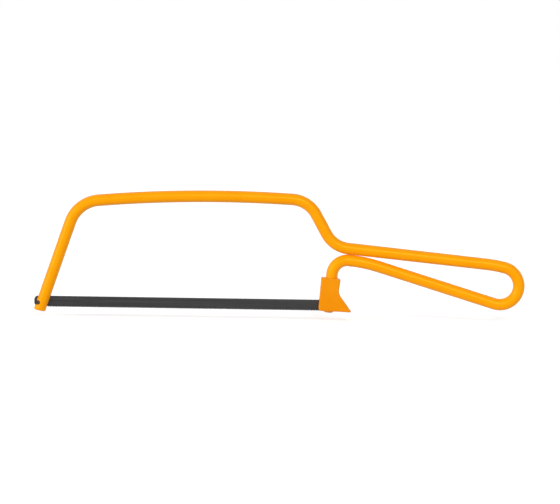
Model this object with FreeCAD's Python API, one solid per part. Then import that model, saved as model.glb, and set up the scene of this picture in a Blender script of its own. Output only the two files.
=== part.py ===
"""Junior hacksaw: a one-piece bent rod frame, a pin-end blade and a moulded rear guard.

Millimetres. +X runs along the blade from tip to handle, +Z points from the blade to the spine, and
Y is the thickness, with the whole saw symmetric about Y = 0. It is drawn with the front blade pin at
X = 0, Z = 0, and moved at the end so that the origin is the centre of the base of its bounding box.
"""
import FreeCAD, Part
import math
import os
from collections import namedtuple

V = FreeCAD.Vector
ACROSS = V(0, 1, 0)

# Frame rod: one round rod, bent in the XZ plane. "Setback" is measured behind the front pin,
# "reach" behind the rear pin and "lead" ahead of it. Heights are above the pins' line, and bend
# radii are those of the rod's centreline.
rod_diameter = 6.0
front_bend_setback = 31.6
front_bend_height = 36.0
front_bend_radius = 16.6
spine_bow_radius = 680.0
rear_bend_lead = 21.85
rear_bend_height = 39.5
rear_bend_radius = 14.9
neck_reach = 9.2
neck_height = 44.15
neck_radius = 14.5
loop_reach = 85.45
loop_height = 11.8
loop_radius = 9.6
heel_radius = 63.0
heel_slope = 14.2
palm_radius = 75.0
palm_slope = 4.9
stub_bend_reach = 7.4
stub_bend_radius = 7.8
handle_gap = 0.05
tip_below_pin = 4.1
tip_cut_slope = 12.0
stub_below_pin = 3.1
rod_end_round = 0.8
limb_gap = 0.05

# Blade seats in both ends of the rod: a slit for the blade and a notch for its pin.
notch_depth = 2.3
pin_clearance = 0.05
slit_clearance = 0.15
slit_roof = 1.0

# Blade and its two pins.
pin_span = 150.0
pin_diameter = 2.0
pin_length = 6.0
pin_chamfer = 0.25
blade_thickness = 0.65
blade_back_height = 3.35
blade_tooth_drop = 2.35
blade_overhang = 2.1
blade_corner_round = 1.8
tooth_pitch = 25.4 / 32
tooth_depth = 0.45
toothless_end = 5.0

# Rear guard: a moulded sleeve on the rod's rear end, with a spur that flares out behind it.
guard_width = 9.6
guard_bore_clearance = 0.02
guard_front_wall = 2.2
guard_rear_wall = 1.55
guard_waist_wall = 1.2
guard_waist_height = 7.25
guard_below_bend = 2.0
guard_below_pin = 2.5
guard_side_round = 0.7
guard_top_round = 0.4
guard_toe_round = 1.6
guard_hollow_round = 5.0
spur_reach = 9.9
spur_tip_round = 0.5
flare_length = 8.7
flare_rise = 1.7
pocket_clearance = 0.4
pin_exit_room = 0.3

rod_radius = rod_diameter / 2
pin_radius = pin_diameter / 2

Bend = namedtuple("Bend", "centre radius side")
LEFT = 1
RIGHT = -1


def at(x, z, y=0.0):
    """Point given by its distance along the blade and its height above the pins' line."""
    return V(x, y, z)


def end_at(point):
    """A path's free end, written as a bend of no radius."""
    return Bend(point, 0.0, LEFT)


def heading(slope):
    """Unit vector at an angle from +X towards +Z, in radians."""
    return V(math.cos(slope), 0, math.sin(slope))


def left_of(slope):
    return V(-math.sin(slope), 0, math.cos(slope))


def common_tangent(first, second):
    """Start, end and angle of the straight that leaves one bend and meets the next."""
    span = second.centre - first.centre
    offset = (second.side * second.radius - first.side * first.radius) / span.Length
    slope = math.atan2(span.z, span.x) - math.asin(max(-1.0, min(1.0, offset)))
    start = first.centre - left_of(slope) * (first.side * first.radius)
    end = second.centre - left_of(slope) * (second.side * second.radius)
    return start, end, slope


def eased(bend, radius, slope):
    """A gentler bend that runs on from this one, tangent to it where the path has this slope."""
    shift = left_of(slope) * (bend.side * (radius - bend.radius))
    return Bend(bend.centre + shift, radius, bend.side)


def path_through(bends):
    """Wire of straight runs and arcs, each tangent to the next, round a list of bends."""
    runs = [common_tangent(a, b) for a, b in zip(bends, bends[1:])]
    edges = []
    for index, (start, end, slope) in enumerate(runs):
        if (end - start).Length > 1e-4:
            edges.append(Part.LineSegment(start, end).toShape())
        else:
            end = start
        if index + 1 < len(runs):
            edges.append(arc_round(bends[index + 1], end, runs[index + 1][0]))
    return Part.Wire(edges)


def arc_round(bend, start, end):
    """Arc of a bend between two points of it, turning the way the bend turns."""
    first = math.atan2(start.z - bend.centre.z, start.x - bend.centre.x)
    last = math.atan2(end.z - bend.centre.z, end.x - bend.centre.x)
    turn = (last - first) * bend.side % (2 * math.pi)
    middle = bend.centre + heading(first + bend.side * turn / 2) * bend.radius
    return Part.Arc(start, middle, end).toShape()


def rod_along(bends):
    """Round rod swept along a path, with its first end square to the path."""
    path = path_through(bends)
    start = path.OrderedVertexes[0].Point
    slope = common_tangent(bends[0], bends[1])[2]
    section = Part.Wire(Part.makeCircle(rod_radius, start, heading(slope)))
    rod = path.makePipeShell([section], True, False)
    swept = path.Length * math.pi * rod_radius ** 2
    print("rod: path", round(path.Length, 2), "volume / swept", round(rod.Volume / swept, 6))
    return rod


# Where the rod runs.

def spine_between(front, rear):
    """The bowed spine: one large bend that touches both end bends from outside."""
    span = rear.centre - front.centre
    front_side = spine_bow_radius - front.radius
    rear_side = spine_bow_radius - rear.radius
    along = (front_side ** 2 - rear_side ** 2 + span.Length ** 2) / (2 * span.Length)
    below = math.sqrt(front_side ** 2 - along ** 2)
    slope = math.atan2(span.z, span.x)
    centre = front.centre + heading(slope) * along - left_of(slope) * below
    return Bend(centre, spine_bow_radius, RIGHT)


def line_height(start, slope, x):
    """Height at which a straight run passes a given X."""
    return start.z + (x - start.x) * math.tan(slope)


rear_pin_x = pin_span
front_bend = Bend(at(front_bend_setback, front_bend_height), front_bend_radius, RIGHT)
rear_bend = Bend(at(rear_pin_x - rear_bend_lead, rear_bend_height), rear_bend_radius, RIGHT)
spine = spine_between(front_bend, rear_bend)
neck = Bend(at(rear_pin_x + neck_reach, neck_height), neck_radius, LEFT)
loop = Bend(at(rear_pin_x + loop_reach, loop_height), loop_radius, RIGHT)
heel = eased(loop, heel_radius, -math.radians(heel_slope))

# The lower handle run comes back under the upper one, almost touching it above the stub bend.
upper_start, upper_end, upper_slope = common_tangent(neck, heel)
stub_bend_x = rear_pin_x + stub_bend_reach
stub_bend_drop = (stub_bend_radius + rod_diameter + handle_gap) / math.cos(upper_slope)
stub_bend_z = line_height(upper_start, upper_slope, stub_bend_x) - stub_bend_drop
stub_bend = Bend(at(stub_bend_x, stub_bend_z), stub_bend_radius, LEFT)
palm = eased(stub_bend, palm_radius, math.pi - math.radians(palm_slope))


def seat_line(bend, pin_x, towards_pin):
    """Slope of the rod's end run, which leaves its pin seated at the bottom of a notch."""
    slope = math.pi / 2
    for _ in range(20):
        axis_offset = rod_radius / math.sin(slope) - notch_depth + pin_radius + pin_clearance
        foot = end_at(at(pin_x - towards_pin * axis_offset, 0))
        slope = common_tangent(foot, Bend(bend.centre, bend.radius, RIGHT))[2]
    return foot.centre, slope


front_foot, front_slope = seat_line(front_bend, 0.0, -1)
rear_foot, rear_slope = seat_line(stub_bend, rear_pin_x, 1)
front_end = front_foot - heading(front_slope) * (tip_below_pin / math.sin(front_slope))
rear_end = rear_foot - heading(rear_slope) * (stub_below_pin / math.sin(rear_slope))

# The rod is parted where the front bend meets the spine: the frame springs there.
parting = common_tangent(front_bend, spine)[0]
parting_slope = common_tangent(front_bend, spine)[2]
limb_stop = parting - heading(parting_slope) * limb_gap
flex_pivot = parting - left_of(parting_slope) * rod_radius
stub_top = common_tangent(stub_bend, end_at(rear_end))[0]


# What is cut and fitted at the rod's ends.

def box_between(low, high):
    return Part.makeBox(high.x - low.x, high.y - low.y, high.z - low.z, low)


def outline_solid(points, width):
    """Plate of a given width in Y, centred on Y = 0, from edges or points in the XZ plane."""
    face = Part.Face(Part.Wire(points))
    face.translate(V(0, -width / 2, 0))
    return face.extrude(V(0, width, 0))


def blade_slit(pin_x, reach):
    """Saw cut in a rod end, which the blade stands in."""
    half = blade_thickness / 2 + slit_clearance
    low = at(pin_x - reach, -tip_below_pin - rod_diameter, -half)
    high = at(pin_x + reach, blade_back_height + slit_roof, half)
    return box_between(low, high)


def pin_notch(pin_x, towards_open):
    """Round-bottomed notch that opens away from the blade's pull."""
    radius = pin_radius + pin_clearance
    seat = Part.makeCylinder(radius, 2 * rod_diameter, at(pin_x, 0, -rod_diameter), ACROSS)
    mouth_x = pin_x + towards_open * rod_diameter
    low = at(min(pin_x, mouth_x), -radius, -rod_diameter)
    high = at(max(pin_x, mouth_x), radius, rod_diameter)
    return seat.fuse(box_between(low, high))


def end_edges(rod, point):
    """Edges of the rod's end face nearest a point."""
    face = min(rod.Faces, key=lambda face: (face.CenterOfMass - point).Length)
    return face.Edges


def front_limb():
    """Front limb of the rod, from the slit tip to the parting at the spine."""
    start = front_end - heading(front_slope) * rod_diameter
    limb = rod_along([end_at(start), front_bend, end_at(limb_stop)])
    cut_slope = -math.radians(tip_cut_slope)
    corner = front_end - heading(cut_slope) * rod_diameter
    block = Part.makeBox(2 * rod_diameter, 2 * rod_diameter, 2 * rod_diameter)
    block.translate(V(0, -rod_diameter, -2 * rod_diameter))
    block.rotate(V(0, 0, 0), ACROSS, tip_cut_slope)
    block.translate(corner)
    limb = limb.cut(block)
    limb = limb.makeFillet(rod_end_round, end_edges(limb, front_end))
    return limb.cut(blade_slit(0.0, 2 * rod_diameter)).cut(pin_notch(0.0, -1))


def frame_rod():
    """The rest of the rod: spine, neck, handle loop and rear stub."""
    bends = [end_at(parting), spine, rear_bend, neck, heel, loop, palm, stub_bend, end_at(rear_end)]
    rod = rod_along(bends)
    rod = rod.makeFillet(rod_end_round, end_edges(rod, rear_end))
    return rod.cut(blade_slit(rear_pin_x, rod_diameter)).cut(pin_notch(rear_pin_x, 1))


# Blade and pins.

def line(start, end):
    return Part.LineSegment(start, end).toShape()


def corner_arc(centre_x, centre_z, radius, first, last):
    """Quarter round of the blade's outline between two angles in degrees."""
    points = []
    for angle in (first, (first + last) / 2, last):
        points.append(at(centre_x, centre_z) + heading(math.radians(angle)) * radius)
    return Part.Arc(*points).toShape()


def blade():
    """Flat pin-end blade with its teeth pointing to the tip of the saw, for the push stroke."""
    front = -blade_overhang
    rear = pin_span + blade_overhang
    root = -blade_tooth_drop + tooth_depth
    top = blade_back_height
    bend = blade_corner_round
    count = int((pin_span - 2 * toothless_end) / tooth_pitch)
    first_tooth = (pin_span - count * tooth_pitch) / 2
    edges = [corner_arc(front + bend, root + bend, bend, 180, 270)]
    last_point = at(front + bend, root)
    for tooth in range(count):
        x = first_tooth + tooth * tooth_pitch
        for point in (at(x, root), at(x, root - tooth_depth), at(x + tooth_pitch, root)):
            if (point - last_point).Length > 1e-6:
                edges.append(line(last_point, point))
                last_point = point
    edges.append(line(last_point, at(rear - bend, root)))
    edges.append(corner_arc(rear - bend, root + bend, bend, 270, 360))
    edges.append(line(at(rear, root + bend), at(rear, top - bend)))
    edges.append(corner_arc(rear - bend, top - bend, bend, 0, 90))
    edges.append(line(at(rear - bend, top), at(front + bend, top)))
    edges.append(corner_arc(front + bend, top - bend, bend, 90, 180))
    edges.append(line(at(front, top - bend), at(front, root + bend)))
    plate = outline_solid(edges, blade_thickness)
    for pin_x in (0.0, pin_span):
        hole = Part.makeCylinder(pin_radius, 2 * blade_thickness, at(pin_x, 0, -blade_thickness), ACROSS)
        plate = plate.cut(hole)
    return plate


def blade_pin(pin_x):
    """Round cross pin pressed through the blade's end."""
    pin = Part.makeCylinder(pin_radius, pin_length, at(pin_x, 0, -pin_length / 2), ACROSS)
    rims = [edge for edge in pin.Edges if isinstance(edge.Curve, Part.Circle)]
    return pin.makeChamfer(pin_chamfer, rims)


# Rear guard.

def guard_frame(along, across):
    """Point measured along the stub from the height of the pins, and rearwards from its axis."""
    return rear_foot + heading(rear_slope) * along - left_of(rear_slope) * across


def rounded_outline(corners):
    """Edges of a closed outline whose corners are given as (point, round radius)."""
    edges = []
    ends = []
    for index, (point, radius) in enumerate(corners):
        before = (corners[index - 1][0] - point).normalize()
        after = (corners[(index + 1) % len(corners)][0] - point).normalize()
        half_angle = before.getAngle(after) / 2
        reach = radius / math.tan(half_angle)
        start = point + before * reach
        end = point + after * reach
        middle_way = (before + after).normalize()
        middle = point + middle_way * (radius / math.sin(half_angle) - radius)
        ends.append((start, middle, end))
    for index, (start, middle, end) in enumerate(ends):
        edges.append(Part.Arc(start, middle, end).toShape())
        edges.append(line(end, ends[(index + 1) % len(ends)][0]))
    return edges


def guard_corners():
    """Side outline of the guard as (corner, round radius), from the front top corner clockwise."""
    bore = rod_radius + guard_bore_clearance
    top = (stub_top - rear_foot).Length - guard_below_bend
    toe = (rear_foot.z + guard_below_pin) / math.sin(rear_slope)
    return [
        (guard_frame(top, -bore - guard_front_wall), guard_top_round),
        (guard_frame(top, bore + guard_rear_wall), guard_top_round),
        (guard_frame(guard_waist_height, bore + guard_waist_wall), guard_hollow_round),
        (spur_corner(), spur_tip_round),
        (guard_frame(-toe, -bore - guard_front_wall), guard_toe_round),
    ]


def spur_corner():
    return at(rear_pin_x + spur_reach, -guard_below_pin)


def flare():
    """Wedge that widens the spur from the waist to its lower rear corner, on both sides alike."""
    spur = spur_corner()
    apex = guard_corners()[2][0]
    toe = spur - V(flare_length, 0, 0)
    side = guard_width / 2
    sides = []
    for half in (-side, side):
        rise = math.copysign(flare_rise, half)
        sides.append([apex + ACROSS * half, toe + ACROSS * half, spur + ACROSS * (half + rise)])
    near, far = sides
    faces = [near, far]
    for i in range(3):
        j = (i + 1) % 3
        faces.append([near[i], near[j], far[j], far[i]])
    shell = Part.Shell([Part.Face(Part.makePolygon(loop + loop[:1])) for loop in faces])
    return Part.Solid(shell)


def rear_guard():
    """Guard with its bore for the rod, the blade's slot and the pocket behind the rear pin."""
    edges = rounded_outline(guard_corners())
    plate = outline_solid(edges, guard_width)
    rims = [edge for edge in plate.Edges if lies_across(edge)]
    plate = plate.makeFillet(guard_side_round, rims)
    spread = outline_solid(edges, guard_width + 2 * flare_rise)
    body = plate.fuse(flare().common(spread))
    bore_start = rear_foot - heading(rear_slope) * (2 * guard_below_pin)
    bore_length = (stub_top - bore_start).Length + rod_diameter
    bore_radius = rod_radius + guard_bore_clearance
    body = body.cut(Part.makeCylinder(bore_radius, bore_length, bore_start, heading(rear_slope)))
    exit_room = notch_depth + pin_exit_room
    pin_half = pin_length / 2 + pocket_clearance
    pocket_end = rear_pin_x + pin_radius + exit_room
    pocket_low = at(rear_foot.x, -2 * guard_below_pin, -pin_half)
    body = body.cut(box_between(pocket_low, at(pocket_end, pin_radius + pocket_clearance, pin_half)))
    slot_half = blade_thickness / 2 + slit_clearance
    slot_low = at(rear_pin_x - 2 * rod_diameter, -2 * guard_below_pin, -slot_half)
    slot_end = rear_pin_x + blade_overhang + exit_room
    slot_high = at(slot_end, blade_back_height + pocket_clearance, slot_half)
    return body.cut(box_between(slot_low, slot_high))


def lies_across(edge):
    """Whether an edge lies in one of the plate's two side faces."""
    box = edge.BoundBox
    return box.YLength < 1e-6


# Putting the saw on its origin and writing it out.

nodes = {
    "frame_rod": frame_rod(),
    "front_limb": front_limb(),
    "rear_guard": rear_guard(),
    "blade": blade(),
    "front_blade_pin": blade_pin(0.0),
    "rear_blade_pin": blade_pin(rear_pin_x),
}
bounds = Part.makeCompound(list(nodes.values())).optimalBoundingBox(False)
to_origin = V(-bounds.Center.x, -bounds.Center.y, -bounds.ZMin)

os.makedirs("parts", exist_ok=True)
for name, shape in nodes.items():
    shape.translate(to_origin)
    shape.exportStep("parts/" + name + ".step")
    print(name, "valid", shape.isValid(), "solids", len(shape.Solids), "volume", round(shape.Volume, 2))
print("size", round(bounds.XLength, 2), round(bounds.YLength, 2), round(bounds.ZLength, 2))
for label, point in (("flex pivot", flex_pivot), ("rear pin", at(rear_pin_x, 0)), ("front pin", at(0, 0))):
    print(label, [round(value, 4) for value in point + to_origin])
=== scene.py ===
import math
import bpy
from mathutils import Matrix, Vector


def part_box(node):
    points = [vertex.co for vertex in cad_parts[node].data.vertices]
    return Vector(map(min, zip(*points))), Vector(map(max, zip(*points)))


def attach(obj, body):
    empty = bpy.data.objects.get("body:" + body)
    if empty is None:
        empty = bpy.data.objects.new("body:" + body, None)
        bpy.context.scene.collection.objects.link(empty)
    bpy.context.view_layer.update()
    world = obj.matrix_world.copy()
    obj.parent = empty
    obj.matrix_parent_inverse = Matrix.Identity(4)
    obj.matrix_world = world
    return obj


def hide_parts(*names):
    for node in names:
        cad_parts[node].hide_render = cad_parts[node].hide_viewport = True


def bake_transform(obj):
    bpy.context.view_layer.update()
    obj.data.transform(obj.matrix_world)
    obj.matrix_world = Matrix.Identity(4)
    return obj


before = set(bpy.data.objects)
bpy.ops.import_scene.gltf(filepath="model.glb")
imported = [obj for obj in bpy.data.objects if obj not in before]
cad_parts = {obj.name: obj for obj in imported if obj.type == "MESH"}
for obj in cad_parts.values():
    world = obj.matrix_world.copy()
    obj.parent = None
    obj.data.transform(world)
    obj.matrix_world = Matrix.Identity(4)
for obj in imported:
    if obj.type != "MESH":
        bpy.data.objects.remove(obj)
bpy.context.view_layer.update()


# Frame rod.
# One round steel rod, bent cold in a single plane into the bow, the neck and the looped handle, and
# powder coated orange-yellow. Both ends are slit for the blade and notched for its pins. It springs
# at the front when it is squeezed.

MM = 0.001
front_pin_low, front_pin_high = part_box("front_blade_pin")
rear_pin_low, rear_pin_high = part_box("rear_blade_pin")
front_pin = (front_pin_low + front_pin_high) / 2
rear_pin = (rear_pin_low + rear_pin_high) / 2
pin_radius = (front_pin_high.z - front_pin_low.z) / 2
rod_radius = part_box("front_limb")[1].y
LEFT = 1
RIGHT = -1


def along(slope):
    """Unit vector in the saw's plane at an angle from +X towards +Z."""
    return Vector((math.cos(slope), 0, math.sin(slope)))


def left_of(slope):
    """Unit vector in the saw's plane, a quarter turn left of an angle from +X towards +Z."""
    return Vector((-math.sin(slope), 0, math.cos(slope)))


def bend_at(pin, back, up, radius, side):
    """A bend of the rod's centreline, placed in millimetres behind and above a blade pin."""
    return pin + Vector((back, 0, up)) * MM, radius * MM, side


def eased(bend, radius, slope):
    """A gentler bend that touches another one where the path has this slope."""
    centre, tight, side = bend
    return centre + left_of(slope) * (side * (radius * MM - tight)), radius * MM, side


def straight_between(first, second):
    """Start, end and slope of the straight that leaves one bend and meets the next."""
    span = second[0] - first[0]
    offset = (second[2] * second[1] - first[2] * first[1]) / span.length
    slope = math.atan2(span.z, span.x) - math.asin(max(-1.0, min(1.0, offset)))
    start = first[0] - left_of(slope) * (first[2] * first[1])
    end = second[0] - left_of(slope) * (second[2] * second[1])
    return start, end, slope


def bowed_spine(front, rear, radius):
    """The large bend that touches the bends at both ends of the spine from outside."""
    span = rear[0] - front[0]
    front_gap = radius * MM - front[1]
    rear_gap = radius * MM - rear[1]
    share = (front_gap ** 2 - rear_gap ** 2 + span.length ** 2) / (2 * span.length)
    slope = math.atan2(span.z, span.x)
    below = math.sqrt(front_gap ** 2 - share ** 2)
    return front[0] + along(slope) * share - left_of(slope) * below, radius * MM, RIGHT


front_bend = bend_at(front_pin, 31.6, 36.0, 16.6, RIGHT)
rear_bend = bend_at(rear_pin, -21.85, 39.5, 14.9, RIGHT)
spine = bowed_spine(front_bend, rear_bend, 680.0)
neck = bend_at(rear_pin, 9.2, 44.15, 14.5, LEFT)
loop = bend_at(rear_pin, 85.45, 11.8, 9.6, RIGHT)
heel = eased(loop, 63.0, -math.radians(14.2))

# The lower handle run returns just under the upper one.
upper_start, _, upper_slope = straight_between(neck, heel)
stub_bend_x = rear_pin.x + 7.4 * MM
stub_bend_radius = 7.8 * MM
handle_gap = 0.01 * MM
upper_height = upper_start.z + (stub_bend_x - upper_start.x) * math.tan(upper_slope)
stub_bend_drop = (stub_bend_radius + 2 * rod_radius + handle_gap) / math.cos(upper_slope)
stub_bend = (Vector((stub_bend_x, 0, upper_height - stub_bend_drop)), stub_bend_radius, LEFT)
palm = eased(stub_bend, 75.0, math.pi - math.radians(4.9))

# Each end of the rod passes its pin so that the pin sits at the bottom of a notch this deep.
notch_depth = 2.3 * MM
pin_clearance = 0.05 * MM


def end_line(bend, pin, open_side):
    """Where the rod's end run crosses the height of its pin, and the run's slope."""
    slope = math.pi / 2
    for _ in range(20):
        offset = rod_radius / math.sin(slope) - notch_depth + pin_radius + pin_clearance
        foot = pin - Vector((open_side * offset, 0, 0))
        slope = straight_between((foot, 0.0, LEFT), (bend[0], bend[1], RIGHT))[2]
    return foot, slope


front_foot, front_slope = end_line(front_bend, front_pin, -1)
rear_foot, rear_slope = end_line(stub_bend, rear_pin, 1)
tip_below_pin = 4.1 * MM
stub_below_pin = 3.1 * MM
front_end = front_foot - along(front_slope) * (tip_below_pin / math.sin(front_slope))
rear_end = rear_foot - along(rear_slope) * (stub_below_pin / math.sin(rear_slope))
path_start = front_end - along(front_slope) * rod_radius
path = [(path_start, 0.0, LEFT), front_bend, spine, rear_bend, neck, heel, loop, palm, stub_bend,
        (rear_end, 0.0, LEFT)]
runs = [straight_between(first, second) for first, second in zip(path, path[1:])]


def only(piece):
    """Makes one object the selected and active one."""
    bpy.ops.object.select_all(action="DESELECT")
    piece.select_set(True)
    bpy.context.view_layer.objects.active = piece


def select_vertices(piece, wanted):
    """In edit mode, selects the vertices whose place passes a test, and what lies between them."""
    bpy.ops.mesh.select_mode(type="VERT")
    bpy.ops.mesh.select_all(action="DESELECT")
    bpy.ops.object.mode_set(mode="OBJECT")
    for vertex in piece.data.vertices:
        vertex.select = bool(wanted(vertex.co))
    bpy.ops.object.mode_set(mode="EDIT")


def steps_for(turn, radius):
    """Divisions of a bend: about 4 degrees each, and never more than 4 mm long."""
    return max(2, math.ceil(abs(turn) / math.radians(4)), math.ceil(abs(turn) * radius / (4 * MM)))


bpy.ops.object.select_all(action="DESELECT")
bpy.ops.mesh.primitive_circle_add(
    vertices=48, radius=rod_radius, location=path_start, rotation=(0, math.pi / 2 - front_slope, 0))
rod = bpy.context.object
rod.name = "bent_rod_frame"
bpy.ops.object.transform_apply(location=True, rotation=True, scale=True)
bpy.ops.object.mode_set(mode="EDIT")
longest_step = 8 * MM
for index, (start, end, slope) in enumerate(runs):
    length = (end - start).length
    pieces_of_run = max(1, round(length / longest_step))
    if length > 0.01 * MM:
        for _ in range(pieces_of_run):
            step = (end - start) / pieces_of_run
            bpy.ops.mesh.extrude_region_move(TRANSFORM_OT_translate={"value": step})
    if index + 1 < len(runs):
        centre, radius, side = path[index + 1]
        turn = (runs[index + 1][2] - slope) * side % (2 * math.pi)
        bpy.ops.mesh.spin(
            steps=steps_for(turn, radius), angle=turn, center=centre, axis=(0, side, 0))
bpy.ops.mesh.select_all(action="SELECT")
bpy.ops.mesh.fill_holes(sides=0)
bpy.ops.mesh.normals_make_consistent(inside=False)

# The tip is sawn off at a slant, and both ends are dressed round.
tip_cut_slope = math.radians(-12.0)
rod_end_round = 0.8 * MM
bpy.ops.mesh.select_all(action="SELECT")
bpy.ops.mesh.bisect(
    plane_co=front_end, plane_no=left_of(tip_cut_slope), use_fill=True, clear_inner=True)
bpy.ops.mesh.bevel(offset=rod_end_round, segments=5, affect="EDGES")
select_vertices(rod, lambda place: abs((place - rear_end).dot(along(rear_slope))) < 0.01 * MM
                and (place - rear_end).length < 1.1 * rod_radius)
bpy.ops.mesh.bevel(offset=2 * rod_end_round, segments=6, affect="EDGES")
bpy.ops.object.mode_set(mode="OBJECT")

blade_low, blade_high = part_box("blade")
slit_half = blade_high.y + 0.15 * MM
slit_top = blade_high.z + 1.0 * MM


def block(name, low, high):
    """A rectangular block between two corners, as a tool for cutting or as a blank."""
    bpy.ops.object.select_all(action="DESELECT")
    bpy.ops.mesh.primitive_cube_add(size=1, location=(low + high) / 2, scale=high - low)
    bpy.context.object.name = name
    bpy.ops.object.transform_apply(location=True, rotation=True, scale=True)
    return bpy.context.object


def cut_away(piece, cutter):
    """Cuts one closed piece out of another, and throws the cutter away."""
    only(piece)
    cut = piece.modifiers.new("cut", "BOOLEAN")
    cut.object = cutter
    cut.operation = "DIFFERENCE"
    cut.solver = "EXACT"
    bpy.ops.object.modifier_apply(modifier=cut.name)
    bpy.data.objects.remove(cutter)


def saw_slit(pin):
    """The cut that the blade stands in."""
    reach = Vector((4 * rod_radius, 0, 0))
    low = Vector((pin.x, -slit_half, -2 * rod_radius)) - reach
    return block("slit", low, Vector((pin.x, slit_half, slit_top)) + reach)


def pin_notch(pin, open_side):
    """A round-bottomed notch: a drill as wide as the pin, drawn out through the rod's side."""
    bpy.ops.object.select_all(action="DESELECT")
    bpy.ops.mesh.primitive_cylinder_add(
        vertices=32, radius=pin_radius + pin_clearance, depth=4 * rod_radius, location=pin,
        rotation=(math.pi / 2, 0, 0))
    notch = bpy.context.object
    bpy.ops.object.transform_apply(location=True, rotation=True, scale=True)
    bpy.ops.object.mode_set(mode="EDIT")
    select_vertices(notch, lambda place: (place.x - pin.x) * open_side > 0.01 * MM)
    bpy.ops.transform.translate(value=(open_side * 2 * rod_radius, 0, 0))
    bpy.ops.object.mode_set(mode="OBJECT")
    return notch


def round_edges(piece, width, segments, angle):
    """Breaks the edges that are sharper than an angle in degrees."""
    only(piece)
    rounding = piece.modifiers.new("rounding", "BEVEL")
    rounding.width = width
    rounding.segments = segments
    rounding.limit_method = "ANGLE"
    rounding.angle_limit = math.radians(angle)
    bpy.ops.object.modifier_apply(modifier=rounding.name)


def smooth(piece, angle):
    """Shades a piece smooth across edges flatter than an angle in degrees."""
    only(piece)
    bpy.ops.object.shade_smooth_by_angle(angle=math.radians(angle))


for pin, open_side in ((front_pin, -1), (rear_pin, 1)):
    cut_away(rod, saw_slit(pin))
    cut_away(rod, pin_notch(pin, open_side))
round_edges(rod, 0.12 * MM, 2, 40)
smooth(rod, 35)


def surface_group():
    """Finish of a coated or moulded surface: slow drift between two colours, and a fine grain."""
    group = bpy.data.node_groups.new("surface_finish", "ShaderNodeTree")
    face = group.interface
    for name, kind in (("Color", "NodeSocketColor"), ("Deep Color", "NodeSocketColor"),
                       ("Patch Scale", "NodeSocketFloat"), ("Grain Scale", "NodeSocketFloat"),
                       ("Stretch", "NodeSocketVector")):
        face.new_socket(name=name, in_out="INPUT", socket_type=kind)
    for name, kind in (("Color", "NodeSocketColor"), ("Grain", "NodeSocketFloat")):
        face.new_socket(name=name, in_out="OUTPUT", socket_type=kind)
    nodes = group.nodes
    links = group.links
    given = nodes.new("NodeGroupInput")
    result = nodes.new("NodeGroupOutput")
    place = nodes.new("ShaderNodeTexCoord")
    stretched = nodes.new("ShaderNodeVectorMath")
    stretched.operation = "MULTIPLY"
    links.new(place.outputs["Object"], stretched.inputs[0])
    links.new(given.outputs["Stretch"], stretched.inputs[1])
    patches = nodes.new("ShaderNodeTexNoise")
    patches.inputs["Detail"].default_value = 3
    links.new(given.outputs["Patch Scale"], patches.inputs["Scale"])
    grain = nodes.new("ShaderNodeTexNoise")
    grain.inputs["Detail"].default_value = 5
    links.new(given.outputs["Grain Scale"], grain.inputs["Scale"])
    for noise in (patches, grain):
        links.new(stretched.outputs["Vector"], noise.inputs["Vector"])
    spread = nodes.new("ShaderNodeMapRange")
    spread.inputs["From Min"].default_value = 0.35
    spread.inputs["From Max"].default_value = 0.65
    links.new(patches.outputs["Fac"], spread.inputs["Value"])
    mix = nodes.new("ShaderNodeMix")
    mix.data_type = "RGBA"
    links.new(spread.outputs["Result"], mix.inputs["Factor"])
    links.new(given.outputs["Color"], mix.inputs["A"])
    links.new(given.outputs["Deep Color"], mix.inputs["B"])
    links.new(mix.outputs["Result"], result.inputs["Color"])
    links.new(grain.outputs["Fac"], result.inputs["Grain"])
    return group


surface_finish = surface_group()


def finish_material(name, colour, deep_colour, patch_scale, grain_scale, stretch=(1, 1, 1)):
    """A material whose colour drifts between two tones; gives its shader and its finish node."""
    material = bpy.data.materials.new(name)
    material.use_nodes = True
    shader = material.node_tree.nodes["Principled BSDF"]
    finish = material.node_tree.nodes.new("ShaderNodeGroup")
    finish.node_tree = surface_finish
    finish.inputs["Color"].default_value = (*colour, 1)
    finish.inputs["Deep Color"].default_value = (*deep_colour, 1)
    finish.inputs["Patch Scale"].default_value = patch_scale
    finish.inputs["Grain Scale"].default_value = grain_scale
    finish.inputs["Stretch"].default_value = stretch
    material.node_tree.links.new(finish.outputs["Color"], shader.inputs["Base Color"])
    return material, shader, finish


def bump_from(material, shader, height, depth, strength):
    """Raises the surface by a texture's value, to a depth in metres."""
    bump = material.node_tree.nodes.new("ShaderNodeBump")
    bump.inputs["Distance"].default_value = depth
    bump.inputs["Strength"].default_value = strength
    material.node_tree.links.new(height, bump.inputs["Height"])
    material.node_tree.links.new(bump.outputs["Normal"], shader.inputs["Normal"])


def roughness_from(material, shader, value, smoothest, roughest):
    """Lets a texture's value move the roughness between two limits."""
    spread = material.node_tree.nodes.new("ShaderNodeMapRange")
    spread.inputs["To Min"].default_value = smoothest
    spread.inputs["To Max"].default_value = roughest
    material.node_tree.links.new(value, spread.inputs["Value"])
    material.node_tree.links.new(spread.outputs["Result"], shader.inputs["Roughness"])


def wear(piece, material):
    """Gives a piece a material of its own in place of any other."""
    piece.data.materials.clear()
    piece.data.materials.append(material)


enamel, enamel_shader, enamel_finish = finish_material(
    "orange_yellow_powder_coat", (0.94, 0.34, 0.001), (0.91, 0.318, 0.0), 60, 1400)
enamel_shader.inputs["Specular IOR Level"].default_value = 0.38
enamel_shader.inputs["Specular Tint"].default_value = (1.0, 0.75, 0.12, 1)
bump_from(enamel, enamel_shader, enamel_finish.outputs["Grain"], 0.04 * MM, 0.45)
roughness_from(enamel, enamel_shader, enamel_finish.outputs["Grain"], 0.26, 0.42)
wear(rod, enamel)
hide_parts("frame_rod", "front_limb")
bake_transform(rod)


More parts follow.
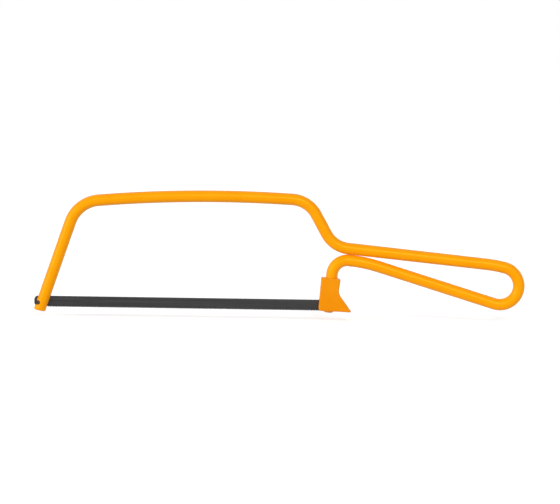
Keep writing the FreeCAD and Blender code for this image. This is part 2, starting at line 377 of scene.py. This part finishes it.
# Rear guard.
# A sleeve of orange plastic, moulded to push up over the rod's rear end. Its heel runs out behind in
# a spur that flares on both sides, and it is open below for the blade's end and the rear pin.

guard_half = 4.8 * MM
bore_radius = rod_radius + 0.02 * MM
guard_front = -bore_radius - 2.2 * MM
guard_top = (runs[-1][0] - rear_foot).length - 2.0 * MM
guard_below_pin = 2.5 * MM


def beside_stub(up, back):
    """A point up the rod's end run from the pin's height, and back from its axis."""
    return rear_foot + along(rear_slope) * up - left_of(rear_slope) * back


front_top = beside_stub(guard_top, guard_front)
rear_top = beside_stub(guard_top, bore_radius + 1.55 * MM)
waist = beside_stub(7.25 * MM, bore_radius + 1.2 * MM)
spur = rear_pin + Vector((9.9 * MM, 0, -guard_below_pin))
toe = beside_stub(-guard_below_pin / math.sin(rear_slope), guard_front)


def at_place(place):
    """A test for vertices that stand at a place seen from the side."""
    return lambda point: math.hypot(point.x - place.x, point.z - place.z) < 0.01 * MM


def move_edge(piece, place, target):
    """Moves the edge across the piece at one place to another."""
    select_vertices(piece, at_place(place))
    bpy.ops.transform.translate(value=target - place)


def select_faces(piece, wanted):
    """In edit mode, selects the faces that pass a test."""
    bpy.ops.mesh.select_mode(type="FACE")
    bpy.ops.mesh.select_all(action="DESELECT")
    bpy.ops.object.mode_set(mode="OBJECT")
    for face in piece.data.polygons:
        face.select = bool(wanted(face))
    bpy.ops.object.mode_set(mode="EDIT")


guard = block("rear_guard_sleeve", Vector((toe.x, -guard_half, spur.z)),
              Vector((spur.x, guard_half, front_top.z)))
bpy.ops.object.mode_set(mode="EDIT")
move_edge(guard, Vector((toe.x, 0, spur.z)), toe)
move_edge(guard, Vector((toe.x, 0, front_top.z)), front_top)
move_edge(guard, Vector((spur.x, 0, front_top.z)), rear_top)
bpy.ops.mesh.select_all(action="SELECT")
bpy.ops.mesh.bisect(plane_co=waist, plane_no=(0, 0, 1))
rear_edge_share = (waist.z - spur.z) / (rear_top.z - spur.z)
move_edge(guard, spur.lerp(rear_top, rear_edge_share), waist)

# Below the waist the spur swells sideways in a soft hollow, drawn by creases that fan out from the
# waist. Each crease's foot stands this far ahead of the spur's tip, and this far out.
swell = ((7.4, 0.0), (6.2, 0.25), (4.85, 0.85), (3.5, 1.45), (2.4, 1.7))
for reach, _ in swell:
    foot = spur - Vector((reach * MM, 0, 0))
    crease = (waist - foot).normalized()
    select_vertices(guard, lambda point: point.z < waist.z + 0.1 * MM)
    bpy.ops.mesh.bisect(plane_co=foot, plane_no=(crease.z, 0, -crease.x))
feet = [(spur.x - reach * MM, out * MM) for reach, out in swell] + [(spur.x, swell[-1][1] * MM)]
for foot_x, out in feet:
    for side in (-1, 1):
        select_vertices(guard, lambda point: point.y * side > 0 and point.z < toe.z
                        and abs(point.x - foot_x) < 0.1 * MM)
        bpy.ops.transform.translate(value=(0, side * out, 0))

# Every corner gets its own rounding, as a share of the widest one.
widest_round = 2.1 * MM


def corner_reach(before, corner, after, radius):
    """How far from a corner a rounding of this radius starts."""
    return radius / math.tan((before - corner).angle(after - corner) / 2)


roundings = [
    (toe, front_top, rear_top, 0.4 * MM),
    (front_top, rear_top, waist, 0.4 * MM),
    (rear_top, waist, spur, 5.0 * MM),
    (waist, spur, toe, 0.5 * MM),
    (spur, toe, front_top, 1.6 * MM),
]
for before, corner, after, radius in roundings:
    select_vertices(guard, at_place(corner))
    bpy.ops.transform.edge_bevelweight(
        value=corner_reach(before, corner, after, radius) / widest_round)
select_faces(guard, lambda face: abs(face.normal.y) > 0.5)
bpy.ops.mesh.region_to_loop()
bpy.ops.transform.edge_bevelweight(value=0.7 * MM / widest_round)
bpy.ops.object.mode_set(mode="OBJECT")
only(guard)
rounding = guard.modifiers.new("rounding", "BEVEL")
rounding.width = widest_round
rounding.segments = 6
rounding.limit_method = "WEIGHT"
bpy.ops.object.modifier_apply(modifier=rounding.name)

# It is bored for the rod, and slotted and hollowed for the blade's end to swing out.
bore_middle = rear_foot + along(rear_slope) * (guard_top / 2)
bpy.ops.object.select_all(action="DESELECT")
bpy.ops.mesh.primitive_cylinder_add(
    vertices=64, radius=bore_radius, depth=2 * guard_top, location=bore_middle,
    rotation=(0, math.pi / 2 - rear_slope, 0))
bore = bpy.context.object
bpy.ops.object.transform_apply(location=True, rotation=True, scale=True)
cut_away(guard, bore)
exit_room = notch_depth + 0.3 * MM
pocket_half = rear_pin_high.y + 0.4 * MM
pocket_low = Vector((rear_foot.x, -pocket_half, -2 * rod_radius))
cut_away(guard, block("pin_pocket", pocket_low, Vector(
    (rear_pin_high.x + exit_room, pocket_half, rear_pin_high.z + 0.4 * MM))))
slot_low = Vector((rear_pin.x - 4 * rod_radius, -slit_half, -2 * rod_radius))
cut_away(guard, block("blade_slot", slot_low, Vector(
    (blade_high.x + exit_room, slit_half, blade_high.z + 0.4 * MM))))
smooth(guard, 18)

moulding, moulding_shader, moulding_finish = finish_material(
    "orange_moulded_plastic", (0.79, 0.25, 0.001), (0.75, 0.232, 0.0), 90, 2200)
moulding_shader.inputs["Specular IOR Level"].default_value = 0.5
moulding_shader.inputs["Specular Tint"].default_value = (1.0, 0.7, 0.12, 1)
bump_from(moulding, moulding_shader, moulding_finish.outputs["Grain"], 0.07 * MM, 0.8)
roughness_from(moulding, moulding_shader, moulding_finish.outputs["Grain"], 0.3, 0.44)
wear(guard, moulding)
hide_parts("rear_guard")
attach(guard, "frame")


# Blade.
# A narrow strip of spring steel with pressed-in cross pins, 32 teeth to the inch raked towards the
# tip of the saw and set in waves, and a dark grey stoving finish.

tooth_pitch = 25.4 / 32 * MM
tooth_depth = 0.45 * MM
teeth_to_a_wave = 8
waves = 22
set_width = 0.16 * MM
blade_half = blade_high.y
tooth_tip = blade_low.z
tooth_root = tooth_tip + tooth_depth
set_top = tooth_root + 0.9 * MM
first_tooth = (blade_low.x + blade_high.x) / 2 - waves * teeth_to_a_wave * tooth_pitch / 2

blade = block("toothed_blade", Vector((first_tooth, -blade_half, set_top)),
              Vector((first_tooth + tooth_pitch, blade_half, blade_high.z)))
bpy.ops.object.mode_set(mode="EDIT")


def in_row(height):
    """A test for vertices at one height."""
    return lambda point: abs(point.z - height) < 0.001 * MM


def extrude_row(piece, height, drop):
    """Draws the faces between the vertices at one height downwards."""
    select_vertices(piece, in_row(height))
    bpy.ops.mesh.extrude_region_move(TRANSFORM_OT_translate={"value": (0, 0, -drop)})


extrude_row(blade, set_top, set_top - tooth_root)
extrude_row(blade, tooth_root, tooth_depth)
tooth_end = first_tooth + tooth_pitch
select_vertices(blade, lambda point: in_row(tooth_tip)(point) and point.x > tooth_end - 0.001 * MM)
bpy.ops.transform.translate(value=(0, 0, tooth_depth))
bpy.ops.mesh.select_all(action="SELECT")
bpy.ops.mesh.remove_doubles(threshold=0.002 * MM)
bpy.ops.mesh.normals_make_consistent(inside=False)
select_faces(blade, lambda face: abs(face.normal.x) > 0.99 and face.center.z > tooth_root)
bpy.ops.mesh.delete(type="FACE")
bpy.ops.object.mode_set(mode="OBJECT")


def repeat(piece, count, step):
    """Repeats a piece along the saw and joins the repeats where they meet."""
    only(piece)
    array = piece.modifiers.new("repeat", "ARRAY")
    array.count = count
    array.use_relative_offset = False
    array.use_constant_offset = True
    array.constant_offset_displace = (step, 0, 0)
    array.use_merge_vertices = True
    array.merge_threshold = 0.002 * MM
    bpy.ops.object.modifier_apply(modifier=array.name)


repeat(blade, teeth_to_a_wave, tooth_pitch)
bpy.ops.object.mode_set(mode="EDIT")
for row, share in ((tooth_tip, 1.0), (tooth_root, 0.55)):
    for tooth in range(teeth_to_a_wave):
        place = first_tooth + tooth * tooth_pitch
        select_vertices(blade, lambda point: in_row(row)(point)
                        and abs(point.x - place) < 0.01 * MM)
        sideways = set_width * share * math.sin(2 * math.pi * tooth / teeth_to_a_wave)
        bpy.ops.transform.translate(value=(0, sideways, 0))
bpy.ops.object.mode_set(mode="OBJECT")
repeat(blade, waves, tooth_pitch * teeth_to_a_wave)

# The plain ends run on past the teeth and are rounded over.
last_tooth = first_tooth + waves * teeth_to_a_wave * tooth_pitch
bpy.ops.object.mode_set(mode="EDIT")
for tooth_side, blade_end in ((first_tooth, blade_low.x), (last_tooth, blade_high.x)):
    select_vertices(blade, lambda point: abs(point.x - tooth_side) < 0.01 * MM
                    and point.z > tooth_root - 0.001 * MM)
    bpy.ops.mesh.extrude_region_move(
        TRANSFORM_OT_translate={"value": (blade_end - tooth_side, 0, 0)})
    select_vertices(blade, lambda point: abs(point.x - blade_end) < 0.01 * MM)
    bpy.ops.mesh.edge_face_add()
    nearer, farther = sorted((tooth_side, blade_end))
    select_vertices(blade, lambda point: in_row(set_top)(point)
                    and nearer - 0.01 * MM < point.x < farther + 0.01 * MM)
    bpy.ops.mesh.dissolve_edges(use_verts=True)
    for height in (tooth_root, blade_high.z):
        select_vertices(blade, lambda point: abs(point.x - blade_end) < 0.01 * MM
                        and in_row(height)(point))
        bpy.ops.mesh.bevel(offset=1.8 * MM, segments=6, affect="EDGES")
bpy.ops.mesh.select_all(action="SELECT")
bpy.ops.mesh.normals_make_consistent(inside=False)
bpy.ops.object.mode_set(mode="OBJECT")
for pin in (front_pin, rear_pin):
    # The blade's sides are parted through the pin's axis, so that neither face holds a whole hole.
    only(blade)
    bpy.ops.object.mode_set(mode="EDIT")
    bpy.ops.mesh.select_all(action="SELECT")
    bpy.ops.mesh.bisect(plane_co=pin, plane_no=(1, 0, 0))
    bpy.ops.object.mode_set(mode="OBJECT")
    bpy.ops.object.select_all(action="DESELECT")
    bpy.ops.mesh.primitive_cylinder_add(
        vertices=32, radius=pin_radius, depth=4 * blade_half, location=pin,
        rotation=(math.pi / 2, 0, 0))
    hole = bpy.context.object
    bpy.ops.object.transform_apply(location=True, rotation=True, scale=True)
    cut_away(blade, hole)
smooth(blade, 20)

stoving, stoving_shader, stoving_finish = finish_material(
    "dark_grey_stoving", (0.042, 0.042, 0.042), (0.024, 0.024, 0.025), 900, 5200, (0.02, 1, 1))
stoving_shader.inputs["Specular IOR Level"].default_value = 0.2
bump_from(stoving, stoving_shader, stoving_finish.outputs["Grain"], 0.02 * MM, 0.5)
roughness_from(stoving, stoving_shader, stoving_finish.outputs["Grain"], 0.42, 0.62)
wear(blade, stoving)
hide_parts("blade")
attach(blade, "blade")


# Blade pins.
# Short round pins of plain steel, chamfered at both ends and pressed through the blade. They hook
# into the rod's notches and carry the blade's pull.

# The pins' colour is darker and browner than bare steel. Part of that is the steel's own dark tone,
# and part is painted shade of the notches they sit in.
pin_steel, pin_shader, pin_finish = finish_material(
    "dark_pin_steel_painted_notch_shade", (0.085, 0.065, 0.045), (0.04, 0.03, 0.022), 1500, 5000, (1, 0.1, 1))
pin_shader.inputs["Metallic"].default_value = 0.85
bump_from(pin_steel, pin_shader, pin_finish.outputs["Grain"], 0.01 * MM, 0.4)
roughness_from(pin_steel, pin_shader, pin_finish.outputs["Grain"], 0.3, 0.5)
for name in ("front_blade_pin", "rear_blade_pin"):
    wear(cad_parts[name], pin_steel)


# Studio.
# A pale floor, an even white surround and four wide soft lamps: the key from the left, one nearly
# straight in front, a weak fill from the right, and one behind.

bpy.ops.object.select_all(action="DESELECT")
bpy.ops.mesh.primitive_circle_add(
    vertices=64, radius=20, fill_type="NGON", location=(0, 0, -2.8 * MM))
floor = bpy.context.object
floor.name = "floor"


def seen_directly(tree):
    """A value of 1 for what the camera sees, straight or by way of metal or glass, and 0 for light."""
    path_kind = tree.nodes.new("ShaderNodeLightPath")
    seen = path_kind.outputs["Is Camera Ray"]
    for kind in ("Is Glossy Ray", "Is Transmission Ray"):
        either = tree.nodes.new("ShaderNodeMath")
        either.operation = "MAXIMUM"
        tree.links.new(seen, either.inputs[0])
        tree.links.new(path_kind.outputs[kind], either.inputs[1])
        seen = either.outputs["Value"]
    return seen


floor_white = bpy.data.materials.new("studio_floor")
floor_white.use_nodes = True
floor_shader = floor_white.node_tree.nodes["Principled BSDF"]
floor_shader.inputs["Base Color"].default_value = (0.85, 0.85, 0.85, 1)
floor_shader.inputs["Roughness"].default_value = 0.9
floor_shader.inputs["Specular IOR Level"].default_value = 0.0
floor_shader.inputs["Emission Color"].default_value = (1, 1, 1, 1)
floor_lift = floor_white.node_tree.nodes.new("ShaderNodeMath")
floor_lift.operation = "MULTIPLY"
floor_lift.inputs[1].default_value = 0.5
floor_white.node_tree.links.new(seen_directly(floor_white.node_tree), floor_lift.inputs[0])
floor_white.node_tree.links.new(floor_lift.outputs["Value"], floor_shader.inputs["Emission Strength"])
wear(floor, floor_white)

world = bpy.data.worlds.new("studio")
bpy.context.scene.world = world
world.use_nodes = True
background = world.node_tree.nodes["Background"]
background.inputs["Color"].default_value = (1, 1, 1, 1)
level = world.node_tree.nodes.new("ShaderNodeMapRange")
level.inputs["To Min"].default_value = 0.38
level.inputs["To Max"].default_value = 1.0
world.node_tree.links.new(seen_directly(world.node_tree), level.inputs["Value"])
world.node_tree.links.new(level.outputs["Result"], background.inputs["Strength"])


def soft_lamp(name, turn, height, strength, spread):
    """A wide soft lamp far off, given by its bearing from the front and its height in degrees."""
    bpy.ops.object.light_add(
        type="SUN", rotation=(math.radians(90 - height), 0, math.radians(turn)))
    lamp = bpy.context.object
    lamp.name = name
    lamp.data.energy = strength
    lamp.data.angle = math.radians(spread)


soft_lamp("key_lamp", -55, 16, 1.6, 34)
soft_lamp("front_lamp", 9, 25, 1.1, 11)
soft_lamp("fill_lamp", 52, 14, 0.3, 26)
soft_lamp("back_lamp", 155, 8, 0.8, 40)

aim = front_pin + Vector((122.934, 0, 27.462)) * MM
distance = 1.4
tilt = math.radians(3.5)
back = Vector((0, -math.cos(tilt), math.sin(tilt)))
facing = (-back).to_track_quat("-Z", "Y").to_matrix() @ Matrix.Rotation(math.radians(0.84), 3, "Z")
bpy.ops.object.camera_add(location=aim + back * distance, rotation=facing.to_euler())
camera = bpy.context.object
seen_width = 285.6 * MM
camera.data.lens = camera.data.sensor_width * distance / seen_width
bpy.context.scene.camera = camera
bpy.context.scene.view_settings.view_transform = "Standard"
